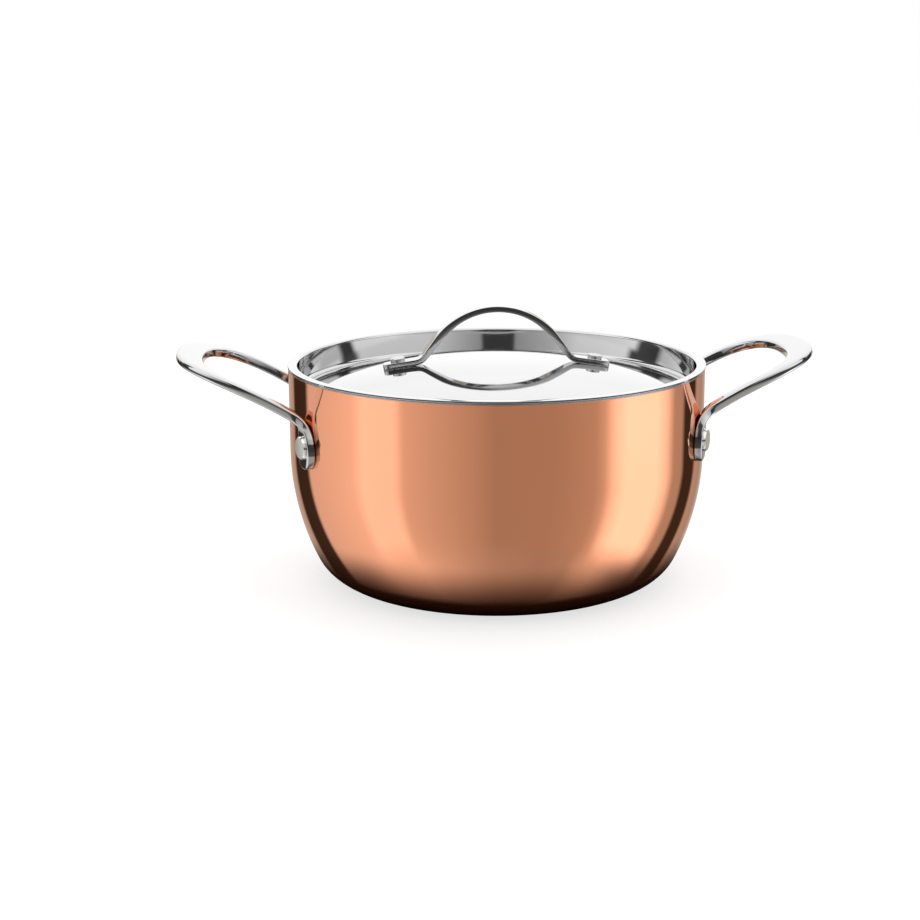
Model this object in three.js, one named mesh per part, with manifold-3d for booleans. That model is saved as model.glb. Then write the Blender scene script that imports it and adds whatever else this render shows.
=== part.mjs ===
// A round casserole with two loop handles and an inset domed lid, 20 cm across inside.
// Millimetres, +Z up. The origin is the centre of the flat base; the side handles lie along X.
import * as THREE from "three";
import { mergeVertices } from "three/addons/utils/BufferGeometryUtils.js";
import Module from "manifold-3d";

const wasm = await Module();
wasm.setup();

// Pot: copper, aluminium and steel sheets bonded into one bowl
const BODY_RADIUS = 103; // outside of the copper on the upright wall
const BODY_HEIGHT = 107; // top edge of the copper
const BASE_RADIUS = 70.5; // flat part of the base
const CORNER_RADIUS_SHARE = 0.695; // the tight corner at the base, a share of the flare's width
const COPPER_THICKNESS = 0.5;
const ALUMINIUM_THICKNESS = 1.5;
const STEEL_THICKNESS = 0.5;
const LIP_HEIGHT = 0.8; // steel edge that covers the cut edges of the other two sheets
const LIP_OVERHANG = 0.15; // how far that edge stands out past the copper

// Side handles: a forged loop each, with a riveted pad at both ends
const HANDLE_REACH = 53.8; // from the wall to the outer edge of the grip
const LOOP_START = 12.6; // from the wall to where the legs run into the rounded grip
const LOOP_HALF_WIDTH = 45; // outer edge of a leg, from the handle's middle
const LEG_WIDTH = 6.2;
const LEG_THICKNESS = 4.8;
const LEG_DROP = 15.3; // top edge of the copper down to the leg where it starts to bend
const BEND_REACH = 6.7; // how far outside the pad a leg starts to bend
const BEND_PULL_SHARE = 0.45; // stiffness of the bend, a share of the distance across it
const GRIP_WIDTH = 12.7;
const GRIP_THICKNESS = 4.2; // the grip is forged flatter than the legs
const GRIP_RISE = 6.4; // the grip's middle above the top edge of the copper
const GRIP_EASE_SHARE = 0.37; // how much steeper than its average the climb starts, easing off to the grip
const GRIP_OUTER_SQUARENESS = 2.55; // exponent of the outer outline: 2 is an ellipse
const GRIP_INNER_SQUARENESS = 2.5;
const PAD_WIDTH = 15;
const PAD_THICKNESS = 2.9;
const PAD_TAIL = 10.7; // rivet down to the pad's end
const PAD_SHOULDER = 4; // rivet up to where the pad starts to bend
const PAD_NECK = 10; // rivet up to where the pad has narrowed to the leg
const EDGE_SQUARENESS = 2.8; // exponent of the forged sections
const RIVET_DROP = 30.7; // top edge of the copper down to the rivets
const RIVET_SPREAD = 43.8; // a rivet from the handle's middle, across

// Handle rivets
const RIVET_HEAD_RADIUS = 5.8;
const RIVET_HEAD_HEIGHT = 1.4;
const RIVET_HEAD_BEVEL = 1.3; // width of the bevel round the head's face
const RIVET_HEAD_RIM = 0.5; // upright edge below the bevel
const RIVET_HEAD_CROWN = 0.15; // rise of the domed face, part of the head's height
const RIVET_SHANK_RADIUS = 2.5;
const RIVET_TAIL_RADIUS = 4.6;
const RIVET_TAIL_HEIGHT = 1.3;

// Lid: one pressed steel sheet, its flange on the rim and its dome sunk into the pot
const LID_THICKNESS = 0.8;
const FLANGE_OVERHANG = 0.25; // past the pot's steel edge
const LID_CLEARANCE = 1.3; // between the sunk wall and the pot's inside
const LID_CROWN = 0.6; // the dome's middle above the flange
const DOME_RADIUS = 340;
const DOME_FILLET = 5; // from the dome up into the sunk wall, on the upper face
const FLANGE_FILLET = 1.4; // from the sunk wall out into the flange, on the upper face

// Lid handle: a bent strap
const STRAP_WIDTH = 8;
const STRAP_FOOT_THICKNESS = 2.7;
const STRAP_SIDE_THICKNESS = 3.9;
const STRAP_TOP_THICKNESS = 3;
const STRAP_THICK_SHARES = [0.05, 0.3]; // of the height over the feet, where the strap thickens
const STRAP_THIN_SHARES = [0.45, 1]; // and where it thins again towards the top
const STRAP_SQUARENESS = 2.8;
const ARCH_RADIUS = 36; // centre line of the bow
const ARCH_SIDE_ANGLE = 52; // degrees from level at the straight sides
const ARCH_RISE = 25.5; // the bow's centre line above the dome's middle
const FOOT_BEND_RADIUS = 4.5;
const FOOT_LENGTH = 7.7; // past its rivet
const FOOT_RIVET_SPREAD = 48.6; // a lid rivet from the lid's middle

// Lid rivets
const LID_RIVET_HEAD_RADIUS = 3.65;
const LID_RIVET_HEAD_HEIGHT = 1.9;
const LID_RIVET_HEAD_BEVEL = 0.3;
const LID_RIVET_HEAD_RIM = 1.3;
const LID_RIVET_HEAD_CROWN = 0.3;
const LID_RIVET_SHANK_RADIUS = 1.8;
const LID_RIVET_TAIL_RADIUS = 3.3;
const LID_RIVET_TAIL_HEIGHT = 1;

// Fits
const SEAT_GAP = 0.1; // between the lid's flange and the rim
const BOND_GAP = 0.02; // the bond between two sheets of the pot
const PIECE_GAP = 0.3; // between a riveted piece and what it lies on
const HOLE_CLEARANCE = 0.3; // around a rivet's shank
const CUT_OVERRUN = 2; // how far a cutter reaches past what it cuts

// Fineness of the curves
const ROUND_SIDES = 48;
const RIVET_SIDES = 16;
const SECTION_POINTS = 12;
const STRAP_POINTS = 10;
const CORNER_STEPS = 4;
const BELLY_STEPS = 3;
const DOME_STEPS = 4;
const FILLET_STEPS = 4;
const EDGE_STEPS = 2;
const GRIP_STEPS = 10;
const LEG_STEPS = 3;
const BEND_STEPS = 5;
const PAD_STEPS = 2;
const ROUND_END_STEPS = 4;
const ROUND_END_SHARE = 0.9; // part of a half-round end's quarter turn that is stepped; a flat closes it
const BOW_STEPS = 10;

const QUARTER_TURN = Math.PI / 2;
const metal = (color, roughness) => new THREE.MeshStandardMaterial({ color, roughness, metalness: 1 });
const copper = () => metal(0xc8794f, 0.22);
const aluminium = () => metal(0xb9bcc0, 0.45);
const polishedSteel = () => metal(0xd2d3d4, 0.12);
const satinSteel = () => metal(0xbfc1c3, 0.35);
const forgedSteel = () => metal(0xc9cacb, 0.18);

// Points on a circle's arc, both ends included; angles from +X, anticlockwise, in radians.
function arc(centreX, centreY, radius, from, to, steps) {
  return Array.from({ length: steps + 1 }, (_, i) => {
    const angle = THREE.MathUtils.lerp(from, to, i / steps);
    return new THREE.Vector2(centreX + radius * Math.cos(angle), centreY + radius * Math.sin(angle));
  });
}

// Solid of revolution about Z, from a profile of (radius, height) points.
function turned(profile, sides) {
  return new THREE.LatheGeometry(profile, sides).rotateX(QUARTER_TURN);
}

function solidOf(geometry) {
  const bare = geometry.clone();
  bare.deleteAttribute("normal");
  bare.deleteAttribute("uv");
  const merged = mergeVertices(bare);
  const corners = merged.index.array;
  const kept = [];
  for (let i = 0; i < corners.length; i += 3) {
    const [a, b, c] = corners.slice(i, i + 3);
    if (a !== b && b !== c && c !== a) kept.push(a, b, c);
  }
  return new wasm.Manifold(
    new wasm.Mesh({
      numProp: 3,
      vertProperties: merged.attributes.position.array,
      triVerts: new Uint32Array(kept),
    }),
  );
}

function geometryOf(solid) {
  const mesh = solid.getMesh();
  return new THREE.BufferGeometry()
    .setAttribute("position", new THREE.BufferAttribute(mesh.vertProperties, 3))
    .setIndex(new THREE.BufferAttribute(mesh.triVerts, 1));
}

function cut(geometry, cutters) {
  return geometryOf(cutters.reduce((left, cutter) => left.subtract(solidOf(cutter)), solidOf(geometry)));
}

function piece(name, geometry, material) {
  const mesh = new THREE.Mesh(geometry, material);
  mesh.name = name;
  return mesh;
}

// One section of a forged or bent bar: a superellipse spanned by a half width and a half thickness.
function section(centre, halfWidth, halfThickness, squareness, points) {
  const bulge = (value) => Math.sign(value) * Math.abs(value) ** (2 / squareness);
  return Array.from({ length: points }, (_, i) => {
    const angle = (i / points) * 2 * Math.PI;
    return centre
      .clone()
      .addScaledVector(halfWidth, bulge(Math.cos(angle)))
      .addScaledVector(halfThickness, bulge(Math.sin(angle)));
  });
}

// Closed bar through equal rings of points, with a fan over each end.
function loft(rings) {
  const size = rings[0].length;
  const points = rings.flat();
  const index = [];
  for (let ring = 0; ring < rings.length - 1; ring++) {
    for (let i = 0; i < size; i++) {
      const a = ring * size + i;
      const b = ring * size + ((i + 1) % size);
      index.push(a, b, b + size, a, b + size, a + size);
    }
  }
  const fan = (first, turnedRound) => {
    const middle = points.slice(first, first + size).reduce((sum, p) => sum.add(p), new THREE.Vector3());
    points.push(middle.divideScalar(size));
    for (let i = 0; i < size; i++) {
      const edge = [first + i, first + ((i + 1) % size)];
      if (turnedRound) edge.reverse();
      index.push(points.length - 1, ...edge);
    }
  };
  fan(0, true);
  fan((rings.length - 1) * size, false);
  return new THREE.BufferGeometry().setFromPoints(points).setIndex(index);
}

// How far along and how wide a bar is at each step into its half-round end, as shares of the full width.
const roundEndShares = Array.from({ length: ROUND_END_STEPS }, (_, i) => {
  const turn = ((i + 1) / ROUND_END_STEPS) * ROUND_END_SHARE * QUARTER_TURN;
  return { along: Math.sin(turn), across: Math.cos(turn) };
});

// The flare: a tight corner at the base runs into a wide arc that ends upright under the handles' pads.
const flareWidth = BODY_RADIUS - BASE_RADIUS;
const flareTop = BODY_HEIGHT - RIVET_DROP - PAD_TAIL;
const cornerRadius = flareWidth * CORNER_RADIUS_SHARE;
const cornerToTop = flareTop - cornerRadius;
const bellyRadius =
  (flareWidth ** 2 + cornerToTop ** 2 - cornerRadius ** 2) / (2 * (flareWidth - cornerRadius));
const cornerEnd = -Math.atan2(cornerToTop, bellyRadius - flareWidth);

// The bowl's profile, set in from the copper's outer face, from the axis out and up to the given height.
function bowlProfile(inset, top) {
  return [
    new THREE.Vector2(0, inset),
    ...arc(BASE_RADIUS, cornerRadius, cornerRadius - inset, -QUARTER_TURN, cornerEnd, CORNER_STEPS),
    ...arc(BODY_RADIUS - bellyRadius, flareTop, bellyRadius - inset, cornerEnd, 0, BELLY_STEPS).slice(1),
    new THREE.Vector2(BODY_RADIUS - inset, top),
  ];
}

// Rivet holes run through the wall, square to it.
const rivetAngle = Math.asin(RIVET_SPREAD / BODY_RADIUS);
const rivetHeight = BODY_HEIGHT - RIVET_DROP;
const coreInset = COPPER_THICKNESS + BOND_GAP;
const linerInset = coreInset + ALUMINIUM_THICKNESS + BOND_GAP;
const wallThickness = linerInset + STEEL_THICKNESS;
const innerRadius = BODY_RADIUS - wallThickness;
const padOuterFace = BODY_RADIUS + PIECE_GAP + PAD_THICKNESS;

function rivetHole(angle) {
  const from = innerRadius - CUT_OVERRUN;
  const to = padOuterFace + CUT_OVERRUN;
  const radius = RIVET_SHANK_RADIUS + HOLE_CLEARANCE;
  return new THREE.CylinderGeometry(radius, radius, to - from, RIVET_SIDES)
    .rotateZ(-QUARTER_TURN)
    .translate((from + to) / 2, 0, 0)
    .rotateZ(angle)
    .translate(0, 0, rivetHeight);
}

const rivetPlaces = [
  { name: "right_front_rivet", angle: -rivetAngle },
  { name: "right_rear_rivet", angle: rivetAngle },
  { name: "left_rear_rivet", angle: Math.PI - rivetAngle },
  { name: "left_front_rivet", angle: Math.PI + rivetAngle },
];

function wallLayer(name, profile, material) {
  const holes = rivetPlaces.map(({ angle }) => rivetHole(angle));
  return piece(name, cut(turned(profile, ROUND_SIDES), holes), material);
}

function copperShell() {
  const outside = bowlProfile(0, BODY_HEIGHT);
  const inside = bowlProfile(COPPER_THICKNESS, BODY_HEIGHT);
  return wallLayer("copper_shell", [...outside, ...inside.reverse()], copper());
}

function aluminiumCore() {
  const outside = bowlProfile(coreInset, BODY_HEIGHT - BOND_GAP);
  const inside = bowlProfile(coreInset + ALUMINIUM_THICKNESS, BODY_HEIGHT - BOND_GAP);
  return wallLayer("aluminium_core", [...outside, ...inside.reverse()], aluminium());
}

const rimHeight = BODY_HEIGHT + LIP_HEIGHT;
const lipRadius = BODY_RADIUS + LIP_OVERHANG;

function steelLiner() {
  const outside = bowlProfile(linerInset, BODY_HEIGHT + BOND_GAP);
  const lip = [
    new THREE.Vector2(lipRadius, BODY_HEIGHT + BOND_GAP),
    new THREE.Vector2(lipRadius, rimHeight),
  ];
  const inside = bowlProfile(wallThickness, rimHeight);
  return wallLayer("steel_liner", [...outside, ...lip, ...inside.reverse()], satinSteel());
}

// A rivet along +X: x is the distance from the origin of the hole's axis.
function rivet(size, tailSeat, headSeat) {
  const tailFace = tailSeat - size.tailHeight;
  const profile = [
    new THREE.Vector2(0, tailFace),
    new THREE.Vector2(size.tailRadius - size.headCrown, tailFace),
    new THREE.Vector2(size.tailRadius, tailFace + size.headCrown),
    new THREE.Vector2(size.tailRadius, tailSeat),
    new THREE.Vector2(size.shankRadius, tailSeat),
    new THREE.Vector2(size.shankRadius, headSeat),
    new THREE.Vector2(size.headRadius, headSeat),
    new THREE.Vector2(size.headRadius, headSeat + size.headRim),
    new THREE.Vector2(size.headRadius - size.headBevel, headSeat + size.headHeight - size.headCrown),
    new THREE.Vector2(0, headSeat + size.headHeight),
  ];
  return new THREE.LatheGeometry(profile, RIVET_SIDES);
}

function handleRivet({ name, angle }) {
  // The flat of the tail clears the hollow of the round wall behind its rim.
  const hollow = innerRadius - Math.sqrt(innerRadius ** 2 - RIVET_TAIL_RADIUS ** 2);
  const size = {
    headRadius: RIVET_HEAD_RADIUS,
    headHeight: RIVET_HEAD_HEIGHT,
    headBevel: RIVET_HEAD_BEVEL,
    headRim: RIVET_HEAD_RIM,
    headCrown: RIVET_HEAD_CROWN,
    shankRadius: RIVET_SHANK_RADIUS,
    tailRadius: RIVET_TAIL_RADIUS,
    tailHeight: RIVET_TAIL_HEIGHT,
  };
  const geometry = rivet(size, innerRadius - hollow - PIECE_GAP, padOuterFace + PIECE_GAP);
  const mesh = piece(name, geometry.rotateZ(-QUARTER_TURN), forgedSteel());
  mesh.rotation.z = angle;
  mesh.position.z = rivetHeight;
  return mesh;
}

// Half of a side handle's sections, from the grip's middle round to the pad's end, on the +Y side.
function handleHalf() {
  const padRadius = BODY_RADIUS + PIECE_GAP + PAD_THICKNESS / 2;
  const padX = padRadius * Math.cos(rivetAngle);
  const padY = padRadius * Math.sin(rivetAngle);
  const gripX = BODY_RADIUS + HANDLE_REACH - GRIP_WIDTH / 2;
  const bendX = padX + BEND_REACH;
  const loopX = BODY_RADIUS + LOOP_START;
  const bendHeight = BODY_HEIGHT - LEG_DROP;
  const rise = BODY_HEIGHT + GRIP_RISE - bendHeight;

  // Height of the handle's middle surface: a climb that eases off towards the grip.
  const surface = (x, y) => {
    const along = (x - bendX) / (gripX - bendX);
    const height = bendHeight + rise * along * (1 + GRIP_EASE_SHARE * (1 - along));
    return new THREE.Vector3(x, y, height);
  };

  // A superelliptic outline seen from above, met by a ray from the loop's middle.
  const outline = (ray, reach, halfWidth, squareness) => {
    const across = (Math.cos(ray) / reach) ** squareness + (Math.sin(ray) / halfWidth) ** squareness;
    const radius = across ** (-1 / squareness);
    return surface(loopX + radius * Math.cos(ray), radius * Math.sin(ray));
  };

  const stations = [];
  const addSpan = (outer, inner, thickness) => {
    const centre = outer.clone().add(inner).divideScalar(2);
    stations.push({ centre, halfWidth: outer.clone().sub(inner).divideScalar(2), thickness });
  };

  const reach = HANDLE_REACH - LOOP_START;
  for (let i = 0; i <= GRIP_STEPS; i++) {
    const ray = (i / GRIP_STEPS) * QUARTER_TURN;
    const outer = outline(ray, reach, LOOP_HALF_WIDTH, GRIP_OUTER_SQUARENESS);
    const inner = outline(ray, reach - GRIP_WIDTH, LOOP_HALF_WIDTH - LEG_WIDTH, GRIP_INNER_SQUARENESS);
    const flattening = THREE.MathUtils.smoothstep(Math.cos(ray), 0, 1);
    addSpan(outer, inner, THREE.MathUtils.lerp(LEG_THICKNESS, GRIP_THICKNESS, flattening));
  }
  for (let i = 1; i <= LEG_STEPS; i++) {
    const inward = i / LEG_STEPS;
    const x = THREE.MathUtils.lerp(loopX, bendX, inward);
    addSpan(surface(x, LOOP_HALF_WIDTH), surface(x, LOOP_HALF_WIDTH - LEG_WIDTH), LEG_THICKNESS);
  }

  // The bend turns the leg down into the pad and round to face the wall.
  const legEnd = stations.at(-1).centre;
  const legDirection = legEnd.clone().sub(stations.at(-2).centre).normalize();
  const padTop = new THREE.Vector3(padX, padY, rivetHeight + PAD_SHOULDER);
  const pull = legEnd.distanceTo(padTop) * BEND_PULL_SHARE;
  const bend = new THREE.CubicBezierCurve3(
    legEnd,
    legEnd.clone().addScaledVector(legDirection, pull),
    padTop.clone().setZ(padTop.z + pull),
    padTop,
  );
  const legAcross = new THREE.Vector3(0, 1, 0);
  const padAcross = new THREE.Vector3(-Math.sin(rivetAngle), Math.cos(rivetAngle), 0);
  const addBar = (centre, share, width, thickness) => {
    const across = legAcross.clone().lerp(padAcross, share).setLength(width / 2);
    stations.push({ centre, halfWidth: across, thickness });
  };
  const widthAt = (aboveRivet) => {
    const share = THREE.MathUtils.smoothstep(PAD_NECK - aboveRivet, 0, PAD_NECK);
    return THREE.MathUtils.lerp(LEG_WIDTH, PAD_WIDTH, share);
  };
  for (let i = 1; i <= BEND_STEPS; i++) {
    const share = THREE.MathUtils.smoothstep(i / BEND_STEPS, 0, 1);
    const aboveRivet = PAD_SHOULDER + (1 - i / BEND_STEPS) * bend.getLength();
    const thickness = THREE.MathUtils.lerp(LEG_THICKNESS, PAD_THICKNESS, share);
    addBar(bend.getPointAt(i / BEND_STEPS), share, widthAt(aboveRivet), thickness);
  }
  const roundStart = rivetHeight - PAD_TAIL + PAD_WIDTH / 2;
  for (let i = 1; i <= PAD_STEPS; i++) {
    const height = THREE.MathUtils.lerp(padTop.z, roundStart, i / PAD_STEPS);
    addBar(new THREE.Vector3(padX, padY, height), 1, widthAt(height - rivetHeight), PAD_THICKNESS);
  }
  for (const { along, across } of roundEndShares) {
    const centre = new THREE.Vector3(padX, padY, roundStart - (along * PAD_WIDTH) / 2);
    addBar(centre, 1, PAD_WIDTH * across, PAD_THICKNESS);
  }
  return stations;
}

function handleGeometry() {
  const half = handleHalf();
  const rings = half.map(({ centre, halfWidth, thickness }, i) => {
    const before = half[Math.max(i - 1, 0)].centre;
    const after = half[Math.min(i + 1, half.length - 1)].centre;
    const direction = i === 0 ? new THREE.Vector3(0, 1, 0) : after.clone().sub(before);
    const halfThickness = halfWidth.clone().cross(direction).setLength(thickness / 2);
    return section(centre, halfWidth, halfThickness, EDGE_SQUARENESS, SECTION_POINTS);
  });
  const mirrored = rings.slice(1).map((ring) => ring.map(({ x, y, z }) => new THREE.Vector3(x, -y, z)));
  const bar = loft([...rings.reverse(), ...mirrored]);
  return cut(bar, [rivetHole(rivetAngle), rivetHole(-rivetAngle)]);
}

function sideHandle(name, angle) {
  const mesh = piece(name, handleGeometry(), forgedSteel());
  mesh.rotation.z = angle;
  return mesh;
}

// The lid's own heights count from the underside of its flange.
const sunkWallRadius = innerRadius - LID_CLEARANCE - LID_THICKNESS; // upper face
const domeCentre = LID_THICKNESS + LID_CROWN - DOME_RADIUS;
const domeEdge = Math.asin((sunkWallRadius - DOME_FILLET) / (DOME_RADIUS + DOME_FILLET));
const filletHeight = domeCentre + (DOME_RADIUS + DOME_FILLET) * Math.cos(domeEdge);
const footSlope = Math.asin(FOOT_RIVET_SPREAD / DOME_RADIUS);

// The lid's profile, set in from its upper face, from the axis out to the flange's edge.
function lidProfile(inset) {
  const flangeX = sunkWallRadius + FLANGE_FILLET;
  const flangeCentre = LID_THICKNESS - FLANGE_FILLET;
  return [
    ...arc(0, domeCentre, DOME_RADIUS - inset, QUARTER_TURN, QUARTER_TURN - domeEdge, DOME_STEPS),
    ...arc(
      sunkWallRadius - DOME_FILLET,
      filletHeight,
      DOME_FILLET + inset,
      -QUARTER_TURN - domeEdge,
      0,
      FILLET_STEPS,
    ).slice(1),
    ...arc(flangeX, flangeCentre, FLANGE_FILLET - inset, Math.PI, QUARTER_TURN, EDGE_STEPS),
    new THREE.Vector2(lipRadius + FLANGE_OVERHANG, LID_THICKNESS - inset),
  ];
}

// A frame on the dome at a foot: its own +Y stands square on the dome.
function footFrame(side) {
  const frame = new THREE.Group();
  frame.position.set(side * FOOT_RIVET_SPREAD, 0, domeCentre + DOME_RADIUS * Math.cos(footSlope));
  frame.rotation.set(QUARTER_TURN, side * footSlope, 0, "YXZ");
  return frame;
}

function lidRivetHole(side) {
  const radius = LID_RIVET_SHANK_RADIUS + HOLE_CLEARANCE;
  const frame = footFrame(side);
  frame.updateMatrix();
  const reach = LID_THICKNESS + PIECE_GAP + STRAP_FOOT_THICKNESS + CUT_OVERRUN;
  return new THREE.CylinderGeometry(radius, radius, 2 * reach, RIVET_SIDES).applyMatrix4(frame.matrix);
}

function lidPlate() {
  const profile = [...lidProfile(LID_THICKNESS), ...lidProfile(0).reverse()];
  const holes = [lidRivetHole(1), lidRivetHole(-1)];
  return piece("lid_plate", cut(turned(profile, ROUND_SIDES), holes), polishedSteel());
}

// Half of the strap's centre line, from the bow's top down to the foot's end, in X and Z.
function strapHalf() {
  const side = THREE.MathUtils.degToRad(ARCH_SIDE_ANGLE);
  const bowCentre = LID_THICKNESS + LID_CROWN + ARCH_RISE - ARCH_RADIUS;
  const bow = arc(0, bowCentre, ARCH_RADIUS, QUARTER_TURN, QUARTER_TURN - side, BOW_STEPS);
  const down = new THREE.Vector2(Math.cos(side), -Math.sin(side));
  const along = new THREE.Vector2(Math.cos(footSlope), -Math.sin(footSlope));
  const lift = PIECE_GAP + STRAP_FOOT_THICKNESS / 2;
  const footMiddle = new THREE.Vector2(
    (DOME_RADIUS + lift) * Math.sin(footSlope),
    domeCentre + (DOME_RADIUS + lift) * Math.cos(footSlope),
  );

  // Where the side's line meets the foot's line, and the bend that rounds that corner.
  const toFoot = footMiddle.clone().sub(bow.at(-1));
  const cornerAt = toFoot.cross(along) / down.cross(along);
  const corner = bow.at(-1).clone().addScaledVector(down, cornerAt);
  const setback = FOOT_BEND_RADIUS * Math.tan((side - footSlope) / 2);
  const bendStart = corner.clone().addScaledVector(down, -setback);
  const outward = new THREE.Vector2(Math.sin(side), Math.cos(side));
  const bendCentre = bendStart.clone().addScaledVector(outward, FOOT_BEND_RADIUS);
  const bend = arc(
    bendCentre.x,
    bendCentre.y,
    FOOT_BEND_RADIUS,
    -QUARTER_TURN - side,
    -QUARTER_TURN - footSlope,
    FILLET_STEPS,
  );
  const roundStart = footMiddle.clone().addScaledVector(along, FOOT_LENGTH - STRAP_WIDTH / 2);
  const points = [...bow, ...bend, footMiddle, roundStart].map((point) => ({ point, widthShare: 1 }));
  for (const { along: inShare, across } of roundEndShares) {
    const point = roundStart.clone().addScaledVector(along, (inShare * STRAP_WIDTH) / 2);
    points.push({ point, widthShare: across });
  }
  return points;
}

// The strap is thin at the feet, full at the sides and a little thinner over the top.
function strapThickness(height, footHeight, topHeight) {
  const share = (height - footHeight) / (topHeight - footHeight);
  const { lerp, smoothstep } = THREE.MathUtils;
  const thickening = smoothstep(share, ...STRAP_THICK_SHARES);
  const thinning = smoothstep(share, ...STRAP_THIN_SHARES);
  return lerp(lerp(STRAP_FOOT_THICKNESS, STRAP_SIDE_THICKNESS, thickening), STRAP_TOP_THICKNESS, thinning);
}

function lidHandle() {
  const half = strapHalf();
  const footHeight = half[BOW_STEPS + FILLET_STEPS + 1].point.y;
  const topHeight = half[0].point.y;
  const rings = half.map(({ point, widthShare }, i) => {
    const before = half[Math.max(i - 1, 0)].point;
    const after = half[Math.min(i + 1, half.length - 1)].point;
    const along = i === 0 ? new THREE.Vector2(1, 0) : after.clone().sub(before).normalize();
    const thickness = strapThickness(point.y, footHeight, topHeight);
    const centre = new THREE.Vector3(point.x, 0, point.y);
    const halfWidth = new THREE.Vector3(0, (STRAP_WIDTH * widthShare) / 2, 0);
    const halfThickness = new THREE.Vector3(along.y, 0, -along.x).multiplyScalar(thickness / 2);
    return section(centre, halfWidth, halfThickness, STRAP_SQUARENESS, STRAP_POINTS);
  });
  const mirrored = rings.slice(1).map((ring) => ring.map(({ x, y, z }) => new THREE.Vector3(-x, y, z)));
  const strap = loft([...rings.reverse(), ...mirrored]);
  return piece("lid_handle", cut(strap, [lidRivetHole(1), lidRivetHole(-1)]), forgedSteel());
}

function lidRivet(name, side) {
  const size = {
    headRadius: LID_RIVET_HEAD_RADIUS,
    headHeight: LID_RIVET_HEAD_HEIGHT,
    headBevel: LID_RIVET_HEAD_BEVEL,
    headRim: LID_RIVET_HEAD_RIM,
    headCrown: LID_RIVET_HEAD_CROWN,
    shankRadius: LID_RIVET_SHANK_RADIUS,
    tailRadius: LID_RIVET_TAIL_RADIUS,
    tailHeight: LID_RIVET_TAIL_HEIGHT,
  };
  const headSeat = PIECE_GAP + STRAP_FOOT_THICKNESS + PIECE_GAP;
  const frame = footFrame(side);
  frame.add(piece(name, rivet(size, -LID_THICKNESS - PIECE_GAP, headSeat), forgedSteel()));
  return frame;
}

const pot = new THREE.Group();
pot.add(copperShell(), aluminiumCore(), steelLiner());
pot.add(sideHandle("right_handle", 0), sideHandle("left_handle", Math.PI));
pot.add(...rivetPlaces.map(handleRivet));

const lid = new THREE.Group();
lid.position.z = rimHeight + SEAT_GAP;
lid.add(lidPlate(), lidHandle(), lidRivet("lid_left_rivet", -1), lidRivet("lid_right_rivet", 1));

const casserole = new THREE.Group();
casserole.add(pot, lid);

export default casserole;
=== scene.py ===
import math

import bpy
import numpy as np
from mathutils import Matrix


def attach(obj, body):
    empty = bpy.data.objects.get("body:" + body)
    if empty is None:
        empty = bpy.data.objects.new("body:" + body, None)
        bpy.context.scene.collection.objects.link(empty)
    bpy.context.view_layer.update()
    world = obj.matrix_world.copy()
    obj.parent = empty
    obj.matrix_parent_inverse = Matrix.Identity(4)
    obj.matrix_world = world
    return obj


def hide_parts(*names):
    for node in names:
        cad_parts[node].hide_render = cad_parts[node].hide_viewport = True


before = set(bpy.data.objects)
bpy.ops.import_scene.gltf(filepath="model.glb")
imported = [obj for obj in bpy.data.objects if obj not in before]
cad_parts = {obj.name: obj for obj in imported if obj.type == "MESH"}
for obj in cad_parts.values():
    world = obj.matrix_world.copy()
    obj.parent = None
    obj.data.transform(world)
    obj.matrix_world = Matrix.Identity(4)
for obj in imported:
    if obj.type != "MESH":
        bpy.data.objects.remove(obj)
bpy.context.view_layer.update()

# Sizes of the pot in millimetres, the same as the solids'
MM = 0.001
BODY_RADIUS = 103
BODY_HEIGHT = 107
BASE_RADIUS = 70.5
CORNER_RADIUS_SHARE = 0.695
COPPER = 0.5
CORE = 1.5
LINER = 0.5
BOND_GAP = 0.02
LIP_HEIGHT = 0.8
LIP_OVERHANG = 0.15
RIM_HEIGHT = BODY_HEIGHT + LIP_HEIGHT
LIP_RADIUS = BODY_RADIUS + LIP_OVERHANG
CORE_INSET = COPPER + BOND_GAP
LINER_INSET = CORE_INSET + CORE + BOND_GAP
WALL = LINER_INSET + LINER
INNER_RADIUS = BODY_RADIUS - WALL
PIECE_GAP = 0.3

# How the sheets' cut edges slope and how far they are rounded
EDGE_SLOPE = 0.08
COPPER_EDGE = 0.15
CORE_EDGE = 0.1
LIP_EDGE = 0.14
FLANGE_EDGE = 0.14

# Sizes of the side handles, whose surfaces reach a skin less far out than the solids
SKIN = 0.25
HANDLE_REACH = 53.8 - SKIN
LOOP_START = 12.6
LOOP_HALF_WIDTH = 45
LEG_WIDTH = 6.2
LEG_THICKNESS = 4.8
LEG_DROP = 15.3
BEND_REACH = 6.7
BEND_PULL_SHARE = 0.45
GRIP_WIDTH = 12.7
GRIP_THICKNESS = 4.2
GRIP_RISE = 6.4
GRIP_EASE_SHARE = 0.37
GRIP_OUTER_SQUARENESS = 2.55
GRIP_INNER_SQUARENESS = 2.5
PAD_WIDTH = 15
PAD_THICKNESS = 2.9
PAD_TAIL = 10.7
PAD_SHOULDER = 4
PAD_TAPER = 0.085
PAD_NECK = 17
OUTER_SQUARENESS = 4
INNER_SQUARENESS = 6.5
INNER_LEAN = 0.165
PAD_SQUARENESS = 8
PAD_END_SQUARENESS = 2
PAD_SLANT = 0.06
PAD_DRAFT = 0.13
THINNING_SQUARENESS = 6
SEAT_GAP = 0.03
RIVET_DROP = 30.7
RIVET_SPREAD = 43.8
RIVET_HEIGHT = BODY_HEIGHT - RIVET_DROP
RIVET_ANGLE = math.asin(RIVET_SPREAD / BODY_RADIUS)
FLARE_TOP = RIVET_HEIGHT - PAD_TAIL
PAD_MIDDLE = BODY_RADIUS + PIECE_GAP + PAD_THICKNESS / 2
PAD_FACE = BODY_RADIUS + PIECE_GAP + PAD_THICKNESS
LOOP_MIDDLE = BODY_RADIUS + LOOP_START
LEG_START = PAD_MIDDLE * math.cos(RIVET_ANGLE) + BEND_REACH

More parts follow.
